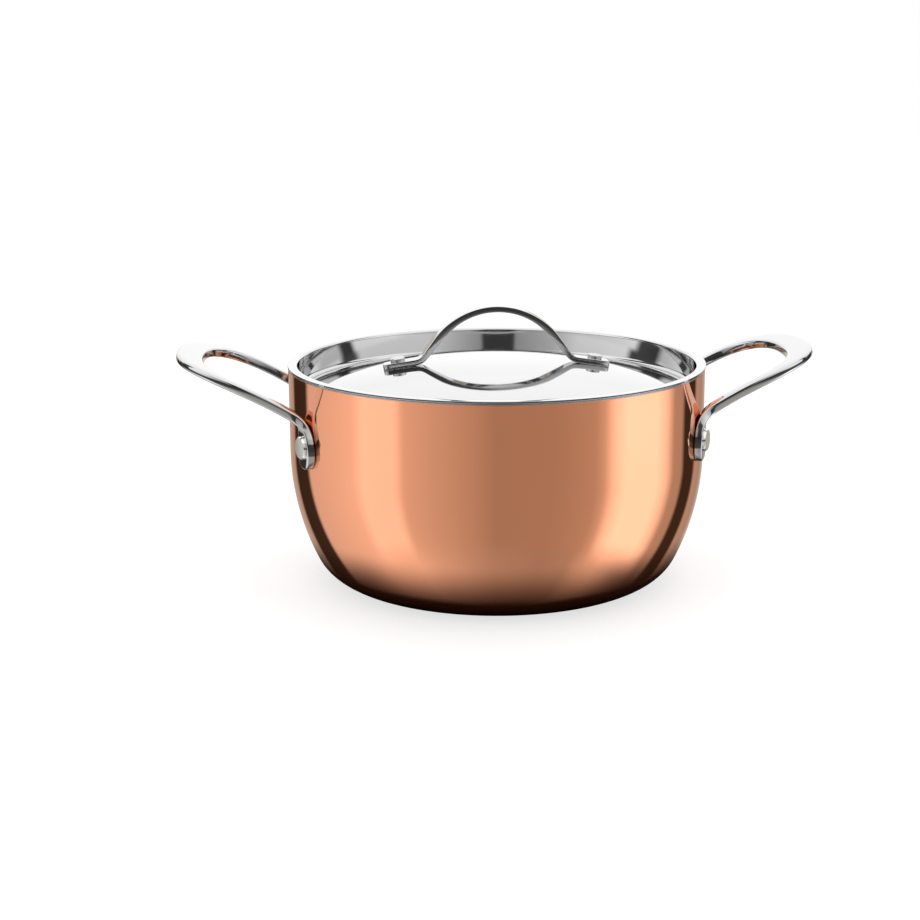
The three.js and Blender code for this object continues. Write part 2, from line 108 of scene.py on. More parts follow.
# Sizes of the lid and its handle
LID_THICKNESS = 0.8
LID_GAP = 0.1
LID_SEAT = RIM_HEIGHT + LID_GAP
LID_TOP = LID_SEAT + LID_THICKNESS
FLANGE_OVERHANG = 0.25
FLANGE_RADIUS = LIP_RADIUS + FLANGE_OVERHANG
LID_CLEARANCE = 1.3
SUNK_WALL_RADIUS = INNER_RADIUS - LID_CLEARANCE - LID_THICKNESS
DOME_RADIUS = 340
DOME_CROWN = 0.6
DOME_TOP = LID_TOP + DOME_CROWN
DOME_CENTRE = DOME_TOP - DOME_RADIUS
DOME_FILLET = 2
FLANGE_FILLET = 1.4
STRAP_WIDTH = 8
STRAP_FOOT = 2.7
STRAP_SIDE = 3.9
STRAP_TOP = 3
STRAP_SQUARENESS = 16
STRAP_END_SQUARENESS = 3.6
STRAP_DRAFT = 0.048
ARCH_RADIUS = 36
ARCH_SIDE = math.radians(52)
ARCH_RISE = 25.5 - SKIN
FOOT_BEND_RADIUS = 4.5
FOOT_LENGTH = 7.7
FOOT_SPREAD = 48.6
FOOT_SLOPE = math.asin(FOOT_SPREAD / DOME_RADIUS)

# Shares of the arch's height over which the strap thickens, thins and lifts off the dome
STRAP_THICKENS = (0.05, 0.3)
STRAP_THINS = (0.45, 1)
STRAP_LIFTS = (0, 0.12)

# Sizes of the rivets: shank, tail and head are radii
HEAD_SINK = 0.8
BODY_RIVET = {
    "shank": 2.5,
    "tail": 4.6,
    "tail_height": 1.3,
    "head": 5.55,
    "height": 1.4,
    "rim": 0.6,
    "bevel": 0.55,
    "crown": 0.02,
    "edge": 0.14,
}
LID_RIVET = {
    "shank": 1.8,
    "tail": 3.3,
    "tail_height": 1,
    "head": 3.65,
    "height": 1.9,
    "rim": 1.3,
    "bevel": 0.3,
    "crown": 0.3,
    "edge": 0.1,
}

# How finely the surfaces are worked out
SIDES = 288
CORE_SIDES = 96
BODY_RIVET_SIDES = 96
LID_RIVET_SIDES = 72
SECTION_POINTS = 56
BASE_STEPS = 8
FLARE_STEPS = 26
EDGE_STEPS = 5
FLANGE_EDGE_STEPS = 8
HEAD_STEPS = 7
DOME_STEPS = 40
DOME_FILLET_STEPS = 18
FLANGE_FILLET_STEPS = 10
GRIP_STEPS = 119
LEG_STEPS = 39
BEND_STEPS = 59
PAD_STEPS = 19
END_STEPS = 27
BOW_STEPS = 60
FOOT_BEND_STEPS = 16
FOOT_STEPS = 13
STATION_STEP = 0.5
EASE_REACH = 3
SUPPORT_SHARE = 0.3
SUPPORT_LENGTH = 2
RAY_MARGIN = 1e-6
QUARTER = math.pi / 2


def mixed(first, second, share):
    """The first value carried towards the second by the share."""
    return first + (second - first) * share


def smooth_share(share):
    """The share kept from 0 to 1 and made level at both: three times its square less twice its cube."""
    share = np.clip(share, 0, 1)
    return share * share * (3 - 2 * share)


def climbing(value, low, high):
    """0 up to low, 1 from high on, and smooth in between."""
    return smooth_share((value - low) / (high - low))


def arc(centre, radius, start, stop, steps):
    """Points on a circle: the centre plus the radius, turned from start to stop."""
    turn = np.linspace(start, stop, steps + 1)
    return np.column_stack([centre[0] + radius * np.cos(turn), centre[1] + radius * np.sin(turn)])


def softened(points, radius, steps=EDGE_STEPS):
    """A polyline whose inner corners are rounded: each gives way to an arc that touches both its sides. A
    point just outside each end of the arc keeps the shading of the straight sides level."""
    points = np.asarray(points, float)
    rounded = [points[:1]]
    for before, corner, after in zip(points[:-2], points[1:-1], points[2:]):
        back, ahead = before - corner, after - corner
        back /= np.linalg.norm(back)
        ahead /= np.linalg.norm(ahead)
        half = math.acos(np.clip(back @ ahead, -1, 1)) / 2
        middle = (back + ahead) / np.linalg.norm(back + ahead)
        centre = corner + middle * radius / math.sin(half)
        first = corner + back * radius / math.tan(half) - centre
        last = corner + ahead * radius / math.tan(half) - centre
        share = np.linspace(0, 1, steps + 1)[:, None]
        spread = math.pi - 2 * half
        swept = (np.sin((1 - share) * spread) * first + np.sin(share * spread) * last) / math.sin(spread)
        margin = radius * SUPPORT_SHARE
        rounded += [[centre + first + back * margin], centre + swept, [centre + last + ahead * margin]]
    return np.concatenate([*rounded, points[-1:]])


def mesh_piece(name, vertices, quads, triangles, material):
    """A smooth mesh from vertices in millimetres and whole arrays of quads and triangles."""
    mesh = bpy.data.meshes.new(name)
    corners = np.concatenate([np.ravel(quads), np.ravel(triangles)]).astype(np.int32)
    sizes = np.concatenate([np.full(len(quads), 4), np.full(len(triangles), 3)]).astype(np.int32)
    mesh.vertices.add(len(vertices))
    mesh.vertices.foreach_set("co", (np.asarray(vertices) * MM).astype(np.float32).ravel())
    mesh.loops.add(len(corners))
    mesh.loops.foreach_set("vertex_index", corners)
    mesh.polygons.add(len(sizes))
    mesh.polygons.foreach_set("loop_start", np.concatenate([[0], np.cumsum(sizes)[:-1]]).astype(np.int32))
    mesh.polygons.foreach_set("use_smooth", np.ones(len(sizes), bool))
    mesh.update(calc_edges=True)
    mesh.validate()
    mesh.materials.append(material)
    piece = bpy.data.objects.new(name, mesh)
    bpy.context.scene.collection.objects.link(piece)
    return piece


def closed_grid(rings, points):
    """Faces of a tube of equal rings with a fan over each end, whose middles come after the rings."""
    i, j = np.meshgrid(np.arange(rings - 1), np.arange(points), indexing="ij")
    here, ahead = i * points + j, i * points + (j + 1) % points
    quads = np.stack([here, ahead, ahead + points, here + points], -1).reshape(-1, 4)
    rim = np.arange(points)
    first = np.column_stack([np.full(points, rings * points), (rim + 1) % points, rim])
    last = np.column_stack([np.full(points, rings * points + 1), rim, (rim + 1) % points])
    last[:, 1:] += (rings - 1) * points
    return quads, np.concatenate([first, last])


def turned(profile, sides=SIDES):
    """Surface of revolution: each (radius, height) of the profile is carried round Z. The profile starts
    and ends on the axis, and those two points are the poles. Returns vertices, quads and triangles."""
    rings = profile[1:-1]
    turn = np.arange(sides) * 2 * math.pi / sides
    around = np.stack(
        [
            rings[:, None, 0] * np.cos(turn),
            rings[:, None, 0] * np.sin(turn),
            np.broadcast_to(rings[:, None, 1], (len(rings), sides)),
        ],
        -1,
    ).reshape(-1, 3)
    poles = np.array([[0, 0, profile[0, 1]], [0, 0, profile[-1, 1]]])
    return np.concatenate([around, poles]), *closed_grid(len(rings), sides)


def bar(path, outer, inner, lean, pad, slant, draft, seat_radius):
    """A bar along a path: at each centre a superellipse, whose two half axes are the half width and half
    the thickness square to it and to the path. Its outer and inner sides have exponents of their own and
    the inner side leans, more where the width climbs. By its share a station is a pad: its exponent is
    the pad's, its free face slants and its other face reaches on to a round seat. The sides draw in away
    from the seat by the draft, one for the bar and one for its pads. The columns are the centre, the half
    width, the thickness, the share by which it is a pad, and the share of the thickness that is left,
    which lies at the seat's side. Returns vertices, quads and triangles."""
    centres, half_widths = path[:, :3], path[:, 3:6]
    thickness, lie, left = path[:, 6:7], path[:, 7:8], path[:, 8:9]
    reach = np.linalg.norm(half_widths, axis=1)[:, None]
    square = np.cross(half_widths, np.gradient(centres, axis=0))
    square /= np.linalg.norm(square, axis=1)[:, None]
    turn = np.arange(SECTION_POINTS) * 2 * math.pi / SECTION_POINTS
    cosine, sine = np.cos(turn), np.sin(turn)
    exponent = 2 / mixed(np.where(cosine > 0, outer, inner), pad, lie)
    across = np.sign(cosine) * np.abs(cosine) ** exponent
    up = np.sign(sine) * np.abs(sine) ** exponent
    to_seat = PIECE_GAP - SEAT_GAP + (across * reach) ** 2 / (2 * seat_radius)
    rise = (up * left + 1 - left) * thickness / 2
    rise = rise + (np.maximum(up, 0) * to_seat + np.minimum(up, 0) * across * reach * slant) * lie
    lean = (lean + half_widths[:, 2:] / reach) * (1 - lie)
    across = across + np.maximum(-across, 0) * lean * up * thickness / (2 * reach)
    across = across * (1 - mixed(*draft, lie) * (1 - up) / 2)
    rings = centres[:, None] + half_widths[:, None] * across[..., None] + square[:, None] * rise[..., None]
    middles = rings[[0, -1]].mean(1)
    return np.concatenate([rings.reshape(-1, 3), middles]), *closed_grid(len(rings), SECTION_POINTS)


def distances(points):
    """How far along a polyline each of its points lies."""
    return np.concatenate([[0], np.cumsum(np.linalg.norm(np.diff(points, axis=0), axis=1))])


def even_steps(columns, step):
    """The same path in steps of equal length: every column is looked up at even distances along it."""
    distance = distances(columns[:, :3])
    wanted = np.linspace(0, distance[-1], int(distance[-1] / step) + 1)
    return np.column_stack([np.interp(wanted, distance, column) for column in columns.T])


def eased(columns, reach):
    """Each column averaged with its neighbours under a bell curve; straight ends stay straight."""
    spread = np.arange(-3 * reach, 3 * reach + 1)
    weights = np.exp(-0.5 * (spread / reach) ** 2)
    padded = np.pad(columns, ((3 * reach, 3 * reach), (0, 0)), "reflect", reflect_type="odd")
    return np.column_stack([np.convolve(c, weights / weights.sum(), "valid") for c in padded.T])


def whole_path(half, mirror):
    """A half path and its mirror image, whose columns have the given signs, as one even, eased path."""
    both = np.concatenate([half[:0:-1] * mirror, half])
    return eased(even_steps(both, STATION_STEP), EASE_REACH)


def round_ended(path, width, squareness):
    """A path with a rounded end at both ends: along the last half width, the width and the share of the
    thickness that is left each follow a superellipse down to nothing. That share is the added column."""
    turn = np.linspace(0, QUARTER, END_STEPS + 1)[1:-1]
    along = np.sin(turn) ** (2 / squareness)
    across = np.cos(turn) ** (2 / squareness)
    thin = (1 - along**THINNING_SQUARENESS) ** (1 / THINNING_SQUARENESS)
    ends = []
    for row, before in ((path[0], path[1]), (path[-1], path[-2])):
        outward = (row - before)[:3] / np.linalg.norm((row - before)[:3])
        centres = row[:3] + np.outer(along * width / 2, outward)
        kept = np.tile(row[6:], (len(turn), 1))
        ends.append(np.column_stack([centres, np.outer(across, row[3:6]), kept, thin]))
    path = np.column_stack([path, np.ones(len(path))])
    return np.concatenate([ends[0][::-1], path, ends[1]])


def placed(vertices, columns, origin):
    """Vertices turned into a frame whose three axes are the given columns, and moved to its origin."""
    return vertices @ np.array(columns, float) + np.asarray(origin, float)


# Shader maths


class Value:
    """An output socket that takes part in arithmetic: each sign adds a Math node."""

    def __init__(self, nodes, socket):
        self.nodes = nodes
        self.socket = socket

    def math(self, operation, *others):
        inputs = dict(enumerate([self, *others]))
        return self.nodes.add("ShaderNodeMath", {"operation": operation}, inputs)[0]

    def reflected(self, operation, other):
        return self.nodes.add("ShaderNodeMath", {"operation": operation}, {0: other, 1: self})[0]

    def __add__(self, other):
        return self.math("ADD", other)

    def __radd__(self, other):
        return self.reflected("ADD", other)

    def __sub__(self, other):
        return self.math("SUBTRACT", other)

    def __rsub__(self, other):
        return self.reflected("SUBTRACT", other)

    def __mul__(self, other):
        return self.math("MULTIPLY", other)

    def __rmul__(self, other):
        return self.reflected("MULTIPLY", other)

    def __truediv__(self, other):
        return self.math("DIVIDE", other)

    def __rtruediv__(self, other):
        return self.reflected("DIVIDE", other)

    def between(self, low, high):
        """0 up to low, 1 from high on, and smooth in between."""
        inputs = {"Value": self, "From Min": low, "From Max": high}
        return self.nodes.add("ShaderNodeMapRange", {"interpolation_type": "SMOOTHSTEP"}, inputs)["Result"]


class Outputs:
    """A node's outputs, by number or name."""

    def __init__(self, nodes, node):
        self.nodes = nodes
        self.node = node

    def __getitem__(self, key):
        return Value(self.nodes, self.node.outputs[key])


class Nodes:
    """The emptied node tree of a material or of the world."""

    def __init__(self, owner):
        owner.use_nodes = True
        self.tree = owner.node_tree
        self.tree.nodes.clear()

    def add(self, kind, settings=None, inputs=None):
        """A node of that kind: its settings are made first, then its sockets get values or links."""
        node = self.tree.nodes.new(kind)
        for name, setting in (settings or {}).items():
            if name == "stops":
                self.set_stops(node.color_ramp, setting)
            else:
                setattr(node, name, setting)
        for key, value in (inputs or {}).items():
            if isinstance(value, Value):
                self.tree.links.new(value.socket, node.inputs[key])
            else:
                node.inputs[key].default_value = value
        return Outputs(self, node)

    @staticmethod
    def set_stops(ramp, stops):
        """The stops that a new ramp has are moved, and the others are added."""
        for number, (position, color) in enumerate(stops):
            there = number < len(ramp.elements)
            element = ramp.elements[number] if there else ramp.elements.new(position)
            element.position = position
            element.color = (*color, 1)


def grey(level):
    """A grey as a colour socket takes it."""
    return (level, level, level, 1)


# Smudges and wear to the metre, how much of each noise shows, and how far fine lines change the roughness
SMUDGE_SCALE = 28.0
SMUDGE_SHOWS = (0.45, 0.8)
WEAR_SCALE = 9.0
WEAR_SHOWS = (0.35, 0.75)
LINE_SHARE = 0.5


def metal(name, color, worn_color, roughness, smudge, grain, grain_depth, wave_depth=0.0, spun=False):
    """A metal finish on Object coordinates. Fine grain lines are a noise squeezed along the grain, so many
    to the metre: along the axes or, on spun pieces, round Z, where height plus radius counts the lines.
    Soft smudges and wear are broad noises that shift the roughness and the colour a little, and the wear
    noise can wave the surface. Both depths are in metres."""
    material = bpy.data.materials.new(name)
    nodes = Nodes(material)
    place = nodes.add("ShaderNodeTexCoord")["Object"]
    squeezed = place
    if spun:
        split = nodes.add("ShaderNodeSeparateXYZ", inputs={"Vector": place})
        radius = (split["X"] * split["X"] + split["Y"] * split["Y"]).math("SQRT")
        parts = {"X": split["X"], "Y": split["Y"], "Z": split["Z"] + radius}
        squeezed = nodes.add("ShaderNodeCombineXYZ", inputs=parts)["Vector"]
    squeezed = nodes.add("ShaderNodeMapping", inputs={"Vector": squeezed, "Scale": grain})["Vector"]

    def noise(vector, scale, detail):
        inputs = {"Vector": vector, "Scale": scale, "Detail": detail}
        return nodes.add("ShaderNodeTexNoise", inputs=inputs)["Fac"]

    lines = noise(squeezed, 1.0, 3.0)
    broad = noise(place, SMUDGE_SCALE, 4.0)
    wear = noise(place, WEAR_SCALE, 2.0)
    shade = nodes.add(
        "ShaderNodeMix",
        {"data_type": "RGBA"},
        {"Factor": wear.between(*WEAR_SHOWS), "A": (*color, 1), "B": (*worn_color, 1)},
    )["Result"]
    height = (lines - 0.5) * grain_depth + (wear - 0.5) * wave_depth
    relief = {"Strength": 1.0, "Distance": 1.0, "Height": height}
    bump = nodes.add("ShaderNodeBump", inputs=relief)["Normal"]
    lined = roughness + (lines - 0.5) * (roughness * LINE_SHARE)
    surface = nodes.add(
        "ShaderNodeBsdfPrincipled",
        inputs={
            "Base Color": shade,
            "Metallic": 1.0,
            "Roughness": lined + broad.between(*SMUDGE_SHOWS) * smudge,
            "Normal": bump,
        },
    )["BSDF"]
    nodes.add("ShaderNodeOutputMaterial", inputs={"Surface": surface})
    return material


copper_finish = metal(
    "polished_copper",
    color=(0.9, 0.383, 0.216),
    worn_color=(0.88, 0.368, 0.2),
    roughness=0.04,
    smudge=0.015,
    grain=(60, 60, 2400),
    grain_depth=1e-6,
    wave_depth=1e-5,
    spun=True,
)
core_finish = metal(
    "rolled_aluminium",
    color=(0.8, 0.81, 0.83),
    worn_color=(0.76, 0.77, 0.79),
    roughness=0.4,
    smudge=0.05,
    grain=(90, 90, 900),
    grain_depth=4e-6,
)
liner_finish = metal(
    "satin_steel",
    color=(0.74, 0.74, 0.745),
    worn_color=(0.7, 0.7, 0.705),
    roughness=0.24,
    smudge=0.04,
    grain=(4, 4, 60),
    grain_depth=6e-6,
    spun=True,
)
handle_finish = metal(
    "polished_steel",
    color=(0.64, 0.64, 0.645),
    worn_color=(0.62, 0.62, 0.625),
    roughness=0.07,
    smudge=0.03,
    grain=(700, 900, 900),
    grain_depth=6e-7,
)
lid_finish = metal(
    "mirror_steel",
    color=(0.66, 0.66, 0.665),
    worn_color=(0.64, 0.64, 0.645),
    roughness=0.05,
    smudge=0.02,
    grain=(50, 50, 1800),
    grain_depth=4e-7,
    spun=True,
)
# The body rivets' steel is given a lighter colour than the handles' steel: painted highlight that makes
# the rivet heads read brighter
lightened_rivet_finish = metal(
    "satin_rivet_steel",
    color=(0.9, 0.9, 0.9),
    worn_color=(0.87, 0.87, 0.87),
    roughness=0.13,
    smudge=0.04,
    grain=(900, 900, 900),
    grain_depth=1e-6,
)
lid_rivet_finish = metal(
    "matt_rivet_steel",
    color=(0.64, 0.64, 0.645),
    worn_color=(0.61, 0.61, 0.615),
    roughness=0.24,
    smudge=0.04,
    grain=(900, 900, 900),
    grain_depth=1e-6,
)


# The pot's wall


def bowl_side(inset):
    """The wall's profile set in from its outer face: the flat base, a tight corner and a wide belly arc
    that meet tangent, up to where the wall is upright."""
    width = BODY_RADIUS - BASE_RADIUS
    corner = width * CORNER_RADIUS_SHARE
    belly = (width**2 + (FLARE_TOP - corner) ** 2 - corner**2) / (2 * (width - corner))
    end = -math.atan2(FLARE_TOP - corner, belly - width)
    flat = np.linspace(0, BASE_RADIUS, BASE_STEPS + 1)[:-1]
    base = np.column_stack([flat, np.full_like(flat, inset)])
    tight = arc((BASE_RADIUS, corner), corner - inset, -QUARTER, end, FLARE_STEPS)
    wide = arc((BODY_RADIUS - belly, FLARE_TOP), belly - inset, end, 0, FLARE_STEPS)[1:]
    return np.concatenate([base, tight, wide])


def sheet_profile(outer_inset, inner_inset, edge, edge_radius):
    """One sheet of the wall: up its outer face, over the edge with softened corners, down its inner face.
    A point a little above the flare keeps the shading of the upright wall level."""
    outside, inside = bowl_side(outer_inset), bowl_side(inner_inset)[::-1]
    support = (BODY_RADIUS - outer_inset, FLARE_TOP + SUPPORT_LENGTH)
    rim = softened([support, *edge, tuple(inside[0])], edge_radius)
    return np.concatenate([outside, rim[:-1], inside])


copper_profile = sheet_profile(
    0,
    COPPER,
    [(BODY_RADIUS, BODY_HEIGHT), (BODY_RADIUS - COPPER, BODY_HEIGHT)],
    COPPER_EDGE,
)
core_profile = sheet_profile(
    CORE_INSET,
    CORE_INSET + CORE,
    [
        (BODY_RADIUS - CORE_INSET, BODY_HEIGHT - BOND_GAP),
        (BODY_RADIUS - CORE_INSET - CORE, BODY_HEIGHT - BOND_GAP),
    ],
    CORE_EDGE,
)
liner_profile = sheet_profile(
    LINER_INSET,
    WALL,
    [
        (BODY_RADIUS - LINER_INSET, BODY_HEIGHT + BOND_GAP),
        (LIP_RADIUS, BODY_HEIGHT + BOND_GAP),
        (LIP_RADIUS - EDGE_SLOPE, RIM_HEIGHT),
        (BODY_RADIUS - WALL, RIM_HEIGHT),
    ],
    LIP_EDGE,
)

pieces = {
    "copper_shell": mesh_piece("copper_wall", *turned(copper_profile), copper_finish),
    "aluminium_core": mesh_piece("core_wall", *turned(core_profile, CORE_SIDES), core_finish),
    "steel_liner": mesh_piece("liner_wall", *turned(liner_profile), liner_finish),
}


# The side handles


def climb(x, y):
    """The handle's middle surface over (x, y): a climb from the bend that eases off towards the grip."""
    along = (x - LEG_START) / (BODY_RADIUS + HANDLE_REACH - GRIP_WIDTH / 2 - LEG_START)
    rise = GRIP_RISE + LEG_DROP
    height = BODY_HEIGHT - LEG_DROP + rise * along * (1 + GRIP_EASE_SHARE * (1 - along))
    return np.column_stack([x, y, height])


def loop_edge(ray, leg, reach, half_width, squareness):
    """One edge of half the loop. From above it is a superellipse met by rays from the loop's middle, and
    then a straight line back along the leg."""
    across = (np.cos(ray) / reach) ** squareness + (np.sin(ray) / half_width) ** squareness
    radius = across ** (-1 / squareness)
    grip = climb(LOOP_MIDDLE + radius * np.cos(ray), radius * np.sin(ray))
    return np.concatenate([grip, climb(leg, np.full_like(leg, half_width))])


def loop_stations():
    """Half the loop on the +Y side, from the grip's middle to the bend: each station's centre and half
    width lie between the loop's two edges, and none of it is a pad."""
    ray = np.linspace(RAY_MARGIN, QUARTER - RAY_MARGIN, GRIP_STEPS + 1)
    leg = np.linspace(LOOP_MIDDLE, LEG_START, LEG_STEPS + 1)[1:]
    reach = HANDLE_REACH - LOOP_START
    outer = loop_edge(ray, leg, reach, LOOP_HALF_WIDTH, GRIP_OUTER_SQUARENESS)
    inner = loop_edge(ray, leg, reach - GRIP_WIDTH, LOOP_HALF_WIDTH - LEG_WIDTH, GRIP_INNER_SQUARENESS)
    grip_thickness = mixed(LEG_THICKNESS, GRIP_THICKNESS, smooth_share(np.cos(ray)))
    thickness = np.concatenate([grip_thickness, np.full_like(leg, LEG_THICKNESS)])
    return np.column_stack([(outer + inner) / 2, (outer - inner) / 2, thickness, np.zeros(len(outer))])


def bezier(points, steps):
    """A cubic curve through its first and last point, pulled towards the two between."""
    share = np.linspace(0, 1, steps + 1)[:, None]
    rest = 1 - share
    a, b, c, d = np.asarray(points, float)
    return rest**3 * a + 3 * rest**2 * share * b + 3 * rest * share**2 * c + share**3 * d


def pad_stations(start, before):
    """From the loop's last station down to where the pad's round end starts: a cubic bend, then straight
    down the wall. On the way the width turns along the wall and grows, the bar gets thinner, and it is a
    pad by a share that climbs from none at the bend's start to all at its end."""
    pad = np.array([PAD_MIDDLE * math.cos(RIVET_ANGLE), PAD_MIDDLE * math.sin(RIVET_ANGLE)])
    top = np.array([*pad, RIVET_HEIGHT + PAD_SHOULDER])
    pull = np.linalg.norm(start - top) * BEND_PULL_SHARE
    direction = (start - before) / np.linalg.norm(start - before)
    bend = bezier([start, start + direction * pull, top + [0, 0, pull], top], BEND_STEPS)
    height = np.linspace(top[2], FLARE_TOP + PAD_WIDTH / 2, PAD_STEPS + 1)[1:]
    straight = np.column_stack([np.full_like(height, pad[0]), np.full_like(height, pad[1]), height])
    length = distances(bend)
    above_rivet = np.concatenate([PAD_SHOULDER + length[-1] - length[1:], height - RIVET_HEIGHT])
    passed = above_rivet[0] - above_rivet

    blend = np.concatenate([smooth_share(length / length[-1])[1:], np.ones(len(height))])
    wall_line = np.array([-math.sin(RIVET_ANGLE), math.cos(RIVET_ANGLE), 0])
    across = mixed(np.array([0, 1, 0]), wall_line, blend[:, None])
    pad_width = PAD_WIDTH - 2 * PAD_TAPER * np.maximum(above_rivet + PAD_SHOULDER, 0)
    width = mixed(LEG_WIDTH, pad_width, smooth_share(passed / PAD_NECK))
    across *= (width / 2 / np.linalg.norm(across, axis=1))[:, None]
    thickness = mixed(LEG_THICKNESS, PAD_THICKNESS, blend)
    lie = smooth_share(passed / (above_rivet[0] - PAD_SHOULDER))
    return np.column_stack([np.concatenate([bend[1:], straight]), across, thickness, lie])


def side_handle():
    """The right handle's path: the loop and the pad on the +Y side, their mirror image, and a half-round
    end on each pad."""
    loop = loop_stations()
    pad = pad_stations(loop[-1, :3], loop[-2, :3])
    path = whole_path(np.concatenate([loop, pad]), [1, -1, 1, 1, -1, 1, 1, 1])
    return round_ended(path, PAD_WIDTH, PAD_END_SQUARENESS)


right = side_handle()
left = right * [-1, -1, 1, -1, -1, 1, 1, 1, 1]
for name, node, path in (
    ("right_loop_handle", "right_handle", right),
    ("left_loop_handle", "left_handle", left),
):
    sides = OUTER_SQUARENESS, INNER_SQUARENESS, INNER_LEAN
    shape = bar(path, *sides, PAD_SQUARENESS, PAD_SLANT, (0, PAD_DRAFT), BODY_RADIUS)
    pieces[node] = mesh_piece(name, *shape, handle_finish)


# The rivets


def rivet_profile(sizes, tail_seat, head_seat):
    """A rivet's profile as (radius, distance along its axis), tail first: a flat tail, the shank and a
    head of a rim, a bevel and a low domed face, whose height falls with the square of the radius. The
    head's rim goes on below its seat by the sink, so that no gap shows under it."""
    tail_end = tail_seat - sizes["tail_height"]
    top = head_seat + sizes["height"]
    outline = [
        (0, tail_end),
        (sizes["tail"], tail_end),
        (sizes["tail"], tail_seat),
        (sizes["shank"], tail_seat),
        (sizes["shank"], head_seat - HEAD_SINK),
        (sizes["head"], head_seat - HEAD_SINK),
        (sizes["head"], head_seat + sizes["rim"]),
        (sizes["head"] - sizes["bevel"], top - sizes["crown"]),
        (0, top - sizes["crown"]),
    ]
    side = softened(outline, sizes["edge"])
    face = np.linspace(side[-2, 0], 0, HEAD_STEPS + 1)
    dome = np.column_stack([face, top - sizes["crown"] * (face / face[0]) ** 2])
    return np.concatenate([side[:-2], dome])


inner_seat = math.sqrt(INNER_RADIUS**2 - BODY_RIVET["tail"] ** 2) - PIECE_GAP
body_rivet = turned(rivet_profile(BODY_RIVET, inner_seat, PAD_FACE + PIECE_GAP), BODY_RIVET_SIDES)
for node, angle in (
    ("right_front_rivet", -RIVET_ANGLE),
    ("right_rear_rivet", RIVET_ANGLE),
    ("left_rear_rivet", math.pi - RIVET_ANGLE),
    ("left_front_rivet", math.pi + RIVET_ANGLE),
):
    out = (math.cos(angle), math.sin(angle), 0)
    side = (-math.sin(angle), math.cos(angle), 0)
    vertices = placed(body_rivet[0], (side, (0, 0, 1), out), (0, 0, RIVET_HEIGHT))
    name = node.replace("rivet", "handle_rivet")
    pieces[node] = mesh_piece(name, vertices, *body_rivet[1:], lightened_rivet_finish)


# The lid


def lid_face(inset):
    """The lid's profile set in from its upper face: the dome, a fillet up into the sunk wall, and a
    small round out into the flange."""
    edge = math.asin((SUNK_WALL_RADIUS - DOME_FILLET) / (DOME_RADIUS + DOME_FILLET))
    fillet_height = DOME_CENTRE + (DOME_RADIUS + DOME_FILLET) * math.cos(edge)
    fillet = (SUNK_WALL_RADIUS - DOME_FILLET, fillet_height)
    flange = (SUNK_WALL_RADIUS + FLANGE_FILLET, LID_TOP - FLANGE_FILLET)
    return np.concatenate(
        [
            arc((0, DOME_CENTRE), DOME_RADIUS - inset, QUARTER, QUARTER - edge, DOME_STEPS),
            arc(fillet, DOME_FILLET + inset, -QUARTER - edge, 0, DOME_FILLET_STEPS)[1:],
            arc(flange, FLANGE_FILLET - inset, math.pi, QUARTER, FLANGE_FILLET_STEPS),
        ]
    )


flange_edge = softened(
    [
        (FLANGE_RADIUS - SUPPORT_LENGTH, LID_SEAT),
        (FLANGE_RADIUS, LID_SEAT),
        (FLANGE_RADIUS - EDGE_SLOPE, LID_TOP),
        (FLANGE_RADIUS - SUPPORT_LENGTH, LID_TOP),
    ],
    FLANGE_EDGE,
    FLANGE_EDGE_STEPS,
)
lid_profile = np.concatenate([lid_face(LID_THICKNESS), flange_edge, lid_face(0)[::-1]])
pieces["lid_plate"] = mesh_piece("lid_sheet", *turned(lid_profile), lid_finish)


def strap_line():
    """The right half of the strap's middle line as (x, z), from its top: a bow, a straight side, a
    reverse bend that meets both tangent, and a foot that lies along the dome. Returns it with the height
    of the foot's rivet on it."""
    bow_centre = DOME_TOP + ARCH_RISE - ARCH_RADIUS
    bow = arc((0, bow_centre), ARCH_RADIUS, QUARTER, QUARTER - ARCH_SIDE, BOW_STEPS)
    down = np.array([math.cos(ARCH_SIDE), -math.sin(ARCH_SIDE)])
    along = np.array([math.cos(FOOT_SLOPE), -math.sin(FOOT_SLOPE)])
    lift = DOME_RADIUS + PIECE_GAP + STRAP_FOOT / 2
    foot = np.array([lift * math.sin(FOOT_SLOPE), DOME_CENTRE + lift * math.cos(FOOT_SLOPE)])
    gap = foot - bow[-1]
    side_length = (gap[0] * along[1] - gap[1] * along[0]) / (down[0] * along[1] - down[1] * along[0])
    corner = bow[-1] + down * side_length
    start = corner - down * FOOT_BEND_RADIUS * math.tan((ARCH_SIDE - FOOT_SLOPE) / 2)
    centre = start + np.array([math.sin(ARCH_SIDE), math.cos(ARCH_SIDE)]) * FOOT_BEND_RADIUS
    bend = arc(centre, FOOT_BEND_RADIUS, -QUARTER - ARCH_SIDE, -QUARTER - FOOT_SLOPE, FOOT_BEND_STEPS)
    end = foot + along * (FOOT_LENGTH - STRAP_WIDTH / 2)
    return np.concatenate([bow, bend, np.linspace(bend[-1], end, FOOT_STEPS + 1)[1:]]), foot[1]


def strap_path():
    """The strap's path from its left foot to its right. It thickens from the foot up and thins again
    towards the top, and it is a pad where it lies on the dome."""
    line, foot_height = strap_line()
    share = (line[:, 1] - foot_height) / (line[0, 1] - foot_height)
    thickness = mixed(STRAP_FOOT, STRAP_SIDE, climbing(share, *STRAP_THICKENS))
    thickness = mixed(thickness, STRAP_TOP, climbing(share, *STRAP_THINS))
    lie = 1 - climbing(share, *STRAP_LIFTS)
    still = np.zeros(len(line))
    across = np.full(len(line), STRAP_WIDTH / 2)
    half = np.column_stack([line[:, 0], still, line[:, 1], still, across, still, thickness, lie])
    path = whole_path(half, [-1, 1, 1, 1, 1, 1, 1, 1])
    return round_ended(path, STRAP_WIDTH, STRAP_END_SQUARENESS)


